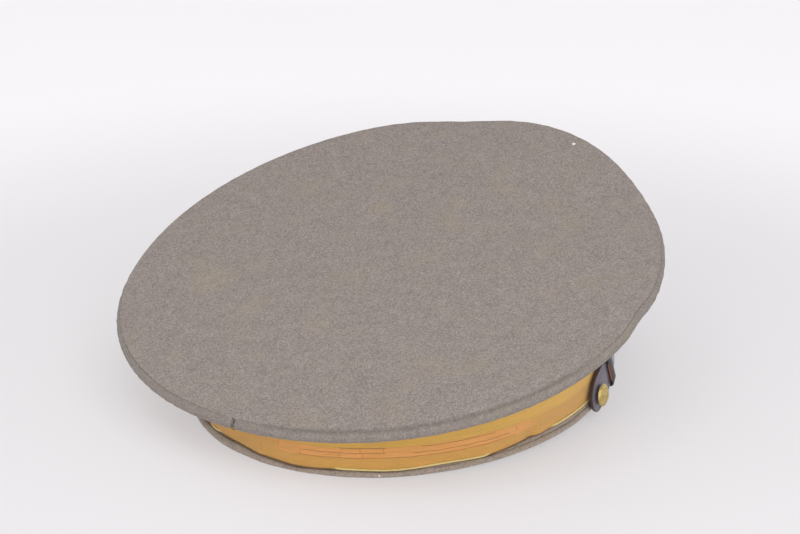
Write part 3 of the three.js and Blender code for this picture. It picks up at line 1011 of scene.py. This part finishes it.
# Chin strap, its keepers and buttons
strap = {
    "width": 16,
    "thick": 1.5,
    "endAngle": 84.8,
    "lowOut": 1.2,
    "highOut": -1.0,
    "lowHeight": 1.0,  # where its middle line would be if it ran on back to riseFrom
    "frontHeight": 15.6,
    "riseFrom": 94,
    "riseTo": 66,
    "bulge": 0.8,  # how far it stands off beside its buttons
    "bulgeAngle": 74,
    "bulgeWide": 7,
    "round": 0.55,
    "creaseIn": 1.7,
    "creaseDeep": 0.22,
    "flare": 0.5,  # how far its ends' lower edges stand out
    "flareFrom": 79,
    "flareOver": 7,
    "drop": 0.3,
    "dropFrom": 74,
    "dropOver": 9,
    "ripple": 0.08,
}
keeper = {
    "angle": 72.8,
    "width": 5.5,
    "leaf": 0.9,
    "back": 0.7,
    "over": 0.3,
    "under": 0.65,
    "slack": 0.7,
    "round": 1.9,
    "soft": 0.16,
    "cutShows": 0.62,  # the share of its height where the cut edge is left brown
}
button = {
    "angle": 80.3,
    "up": -2.3,  # from the strap's middle line
    "radius": 5.1,
    "shank": 0.8,
    "shankRadius": 1.8,
    "rim": 0.5,
    "edge": 0.3,
    "ledge": 0.45,
    "dome": 1.1,
    "domeSunk": 0.08,
    "turns": 72,
    "off": 0.3,
}


def strapPoint(angle, up, out):
    share = up / strap["width"] + 0.5
    degrees = np.degrees(np.abs(angle))
    lay = strap["lowOut"] + share * (strap["highOut"] - strap["lowOut"])
    lay = lay + strap["bulge"] * hump(degrees, strap["bulgeAngle"], strap["bulgeWide"])
    rise = smooth((strap["riseFrom"] - degrees) / (strap["riseFrom"] - strap["riseTo"]))
    high = strap["lowHeight"] + rise * (strap["frontHeight"] - strap["lowHeight"])
    return bandPoint(angle, lay + out, high + up)


# The directions along the strap, up it and out of it, as the columns of a matrix
def strapFrame(degrees):
    angle, step = math.radians(degrees), math.radians(1)
    along = strapPoint(angle + step, 0, 0) - strapPoint(angle - step, 0, 0)
    up = strapPoint(angle, 1, 0) - strapPoint(angle, -1, 0)
    along = unit(along)
    out = unit(np.cross(along, up))
    return along, np.cross(out, along), out


def makeStrap():
    half, thick = strap["width"] / 2, strap["thick"]
    roundAngle = half / (cap["bandWidth"] / 2 + strap["lowOut"])
    straight = math.radians(strap["endAngle"]) - roundAngle
    turn = np.linspace(0.06, math.pi / 2, 18)
    endAngle = straight + roundAngle * np.cos(turn)
    endHalf = half * np.sin(turn)
    middle = np.linspace(-straight, straight, 260)[1:-1]
    angle = np.concatenate([-endAngle, middle, endAngle[::-1]])
    wide = np.concatenate([endHalf, np.full(len(middle), half), endHalf[::-1]])
    r = np.minimum(strap["round"], wide * 0.5)
    low = [(-(wide - r) - r * math.sin(t), r * (1 - math.cos(t))) for t in np.linspace(0, math.pi / 2, 5)]
    lowerEdge = [(up, thick - out) for up, out in low[::-1]]
    crease = []
    for offset, deep in ((-0.5, 0.0), (-0.15, 0.8), (0, 1.0), (0.15, 0.8), (0.5, 0.0)):
        ups = -(wide - np.minimum(strap["creaseIn"], wide * 0.6)) + offset * np.minimum(1, wide / 4)
        crease.append((ups, thick - deep * strap["creaseDeep"] + 0 * wide))
    lower = lowerEdge + crease
    upper = [(-up, out) for up, out in lower[::-1]]
    outside = [(wide * 0.3 * k, thick + 0 * wide) for k in (-1, 0, 1)]
    inside = [(wide * 0.45 * k, 0 * wide) for k in (1, 0, -1)]
    loop = low + lower + outside + upper + [(-up, out) for up, out in low[::-1]] + inside
    degrees = np.degrees(np.abs(angle))
    flare = strap["flare"] * smooth((degrees - strap["flareFrom"]) / strap["flareOver"])
    flare = flare + strap["ripple"] * wander(angle, 3, 12, 81)
    drop = strap["drop"] * smooth((degrees - strap["dropFrom"]) / strap["dropOver"])
    points = [strapPoint(angle, up - drop, out + flare * (0.5 - up / strap["width"])) for up, out in loop]
    points = np.stack(points, axis=1)
    flat = asPoints(arcLengths(strapPoint(angle, 0, 0), 0)[:, None], arcLengths(points, 1))
    piece = makeSkin("chinStrapLeather", leaned(points), flat, strapLeatherWithSheen, ring=False, capped=True)
    piece.data.materials.append(edgeLeather)
    edges = len(low) + len(lowerEdge) - 1
    for face in piece.data.polygons:
        k = face.index % len(loop)
        if k < edges or 0 <= len(loop) - len(inside) - 1 - k < edges:
            face.material_index = 1
    return settle(piece, "leather", "chin_strap")


# A rectangle with round corners, from its lower right corner round, with as many points at any size
def softRectangle(high, low, top, radius):
    corners = [(high / 2, low, -90), (high / 2, top, 0), (-high / 2, top, 90), (-high / 2, low, 180)]
    points = []
    for x, y, start in corners:
        cx = x - math.copysign(radius, x)
        cy = y + radius if y == low else y - radius
        for k in range(7):
            turn = math.radians(start + 90 * k / 6)
            points.append((cx + radius * math.cos(turn), cy + radius * math.sin(turn)))
    closed = points + points[:1]
    made = []
    for (x0, y0), (x1, y1) in zip(closed, closed[1:]):
        count = 8 if math.hypot(x1 - x0, y1 - y0) > 2 * radius else 1
        made += [(x0 + (x1 - x0) * k / count, y0 + (y1 - y0) * k / count) for k in range(count)]
    return np.array(made)


def makeKeeper(name, side, node):
    look = keeper
    along, up, out = strapFrame(side * look["angle"])
    centre = strapPoint(math.radians(side * look["angle"]), 0, 0)
    high = strap["width"] + 2 * look["slack"]
    low, top = -look["under"], strap["thick"] + look["over"]
    hole = softRectangle(high, low, top, look["round"] * 0.5)
    leaf = look["leaf"]
    outside = softRectangle(high + 2 * leaf, low - look["back"], top + leaf, look["round"])
    half, soft = look["width"] / 2, look["soft"]
    outwards = unit(outside - hole)
    loop = [
        (outside, half - soft), (outside, -half + soft), (outside - outwards * soft, -half),
        (hole + outwards * soft, -half), (hole, -half + soft), (hole, half - soft),
        (hole + outwards * soft, half), (outside - outwards * soft, half),
    ]
    rows = []
    for shape, place in loop:
        rows.append(centre + shape[:, :1] * up + shape[:, 1:] * out + place * along)
    points = np.stack(rows, axis=1)
    flat = asPoints(arcLengths(points[:, 0], 0)[:, None], arcLengths(points, 1))
    piece = makeSkin(name, leaned(points), flat, keeperLeather)
    piece.data.materials.append(rawEdge)
    cut = (2, 6)  # the loop's two cut edges
    brownTo = look["cutShows"] * high / 2
    for face in piece.data.polygons:
        upAlong = hole[face.index // len(loop), 0]
        if face.index % len(loop) in cut and abs(upAlong) < brownTo:
            face.material_index = 1
    return settle(piece, "leather", node)


def makeButton(name, side, node):
    look = button
    along, up, out = strapFrame(side * look["angle"])
    centre = strapPoint(math.radians(side * look["angle"]), look["up"], strap["thick"] + look["off"])
    foot, shank, wide, edge = look["shankRadius"], look["shank"], look["radius"], look["edge"]
    profile = [(0, 0), (foot * 0.6, 0), (foot * 0.95, 0.05), (foot, 0.15), (foot, shank - 0.15)]
    profile += [(foot + 0.1, shank), (wide * 0.6, shank), (wide * 0.92, shank + 0.02)]
    for turn in np.linspace(-math.pi / 2, math.pi / 2, 7):
        high = shank + look["rim"] / 2 * (1 + math.sin(turn))
        profile.append((wide - edge + edge * math.cos(turn), high))
    dome, sunk = wide - look["ledge"], look["domeSunk"]
    for turn in np.linspace(0, math.pi / 2, 21):
        high = shank + look["rim"] - sunk + (look["dome"] + sunk) * math.sin(turn)
        profile.append((dome * math.cos(turn), high))
    turn = roundRing(look["turns"])[:, None]
    reach, high = np.array(profile).T
    x, y = reach * np.cos(turn), reach * np.sin(turn)
    points = centre + x[..., None] * along + y[..., None] * up + high[:, None] * out
    piece = makeSkin(name, leaned(points), asPoints(x, y), brassFinish, loop=False)
    return settle(welded(piece), "brass", node)


makePeak()
makeStrap()
for side, word in ((-1, "right"), (1, "left")):
    makeKeeper(f"keeperLeather_{word}", side, f"keeper_{word}")
    makeButton(f"buttonBrass_{word}", side, f"button_{word}")
print("peak, strap, keepers and buttons made")

# Floor, light and camera
studio = {
    "paperColour": (167, 165, 167),
    "paperShade": (163, 161, 163),
    "glow": 0.42,  # painted light: the paper itself glows like a light table, so that shadows stay faint
    "glowFar": 0.2,  # and it glows a little more away from the cap
    "glowFrom": 0.2,
    "glowTo": 0.62,
    "paperRadius": 2.0,  # metres from the cap, where the paper begins to bend up
    "paperBend": 0.4,
    "paperHeight": 1.2,
    "paperGrain": 0.18,
    "worldColour": (255, 253, 254),
    "glowColour": (255, 253, 255),
    "worldStrength": 0.5,
    "lamps": table(  # headings are from behind the camera: 0 is beside it, positive to its left
        "name heading up distance size power",
        ("softboxLeft", 22, 44, 1.3, 1.1, 6.2),
        ("softboxRight", -26, 44, 1.3, 1.1, 6.6),
        ("fill", -4, 10, 1.2, 0.6, 1.4),
    ),
}
camera = {
    "place": (-614.7, -413.9, 317.0),
    "heading": 34.46,
    "down": 19.52,
    "roll": -0.25,
    "lens": 76.5,
    "sensor": 36,
}


# A direction from its compass angle and how far it points up, both in degrees
def direction(heading, up):
    turn, rise = math.radians(heading), math.radians(up)
    return Vector((math.cos(turn) * math.cos(rise), math.sin(turn) * math.cos(rise), math.sin(rise)))


# A round sheet of paper that bends up far behind the cap, whichever side it is seen from
def makeFloor():
    mix = Mixture("paper")
    where = mix.add("ShaderNodeTexCoord", output="Object")
    soft = mix.noise(where, studio["paperGrain"], 3.0)
    colour = mix.blend(soft, studio["paperColour"], studio["paperShade"])
    away = mix.add("ShaderNodeVectorMath", {"operation": "LENGTH"}, {0: where}, "Value")
    far = mix.mapped(away, studio["glowFrom"], studio["glowTo"], 0.0, studio["glowFar"])
    material = mix.finish(colour, mix.bump(soft, 0.5), {
        "Roughness": 0.8,
        # Painted light: the paper's own glow lights the cap from below and fills its shadows
        "Emission Color": studio["glowColour"],
        "Emission Strength": far + studio["glow"],
    })
    radius, bend = studio["paperRadius"], studio["paperBend"]
    line = [(share * radius, 0.0) for share in (0, 0.2, 0.6, 1)]
    for t in np.linspace(0.1, math.pi / 2, 12):
        line.append((radius + bend * math.sin(t), bend * (1 - math.cos(t))))
    line.append((radius + bend, studio["paperHeight"]))
    reach, high = np.array(line).T
    turn = roundRing(96)[:, None]
    places = asPoints(reach * np.cos(turn), reach * np.sin(turn), high) / mm
    welded(makeSkin("paperSheet", places, places[..., :2], material, loop=False))


def makeLight():
    world = bpy.data.worlds.new("softRoom")
    world.use_nodes = True
    back = world.node_tree.nodes["Background"]
    back.inputs[0].default_value = fromSrgb(*studio["worldColour"])
    back.inputs[1].default_value = studio["worldStrength"]
    bpy.context.scene.world = world
    for row in studio["lamps"]:
        lamp = bpy.data.lights.new(row["name"], "AREA")
        lamp.shape = "DISK"
        lamp.size = row["size"]
        lamp.energy = row["power"]
        made = newObject(row["name"], lamp)
        towards = direction(camera["heading"] + 180 - row["heading"], row["up"])
        made.location = towards * row["distance"]
        made.rotation_euler = towards.to_track_quat("Z", "Y").to_euler()
        made.visible_camera = False


def makeCamera():
    lens = bpy.data.cameras.new("camera")
    lens.lens = camera["lens"]
    lens.sensor_width = camera["sensor"]
    lens.clip_start = 0.01
    lens.clip_end = 20
    made = newObject("camera", lens)
    forward = direction(camera["heading"], -camera["down"])
    right = direction(camera["heading"] - 90, 0)
    level = Matrix((right, right.cross(forward), -forward)).transposed()
    turned = level @ Matrix.Rotation(-math.radians(camera["roll"]), 3, "Z")
    made.matrix_world = Matrix.Translation(Vector(camera["place"]) * mm) @ turned.to_4x4()
    bpy.context.scene.camera = made


makeFloor()
makeLight()
makeCamera()
bpy.context.scene.view_settings.view_transform = "Standard"
print("studio made")
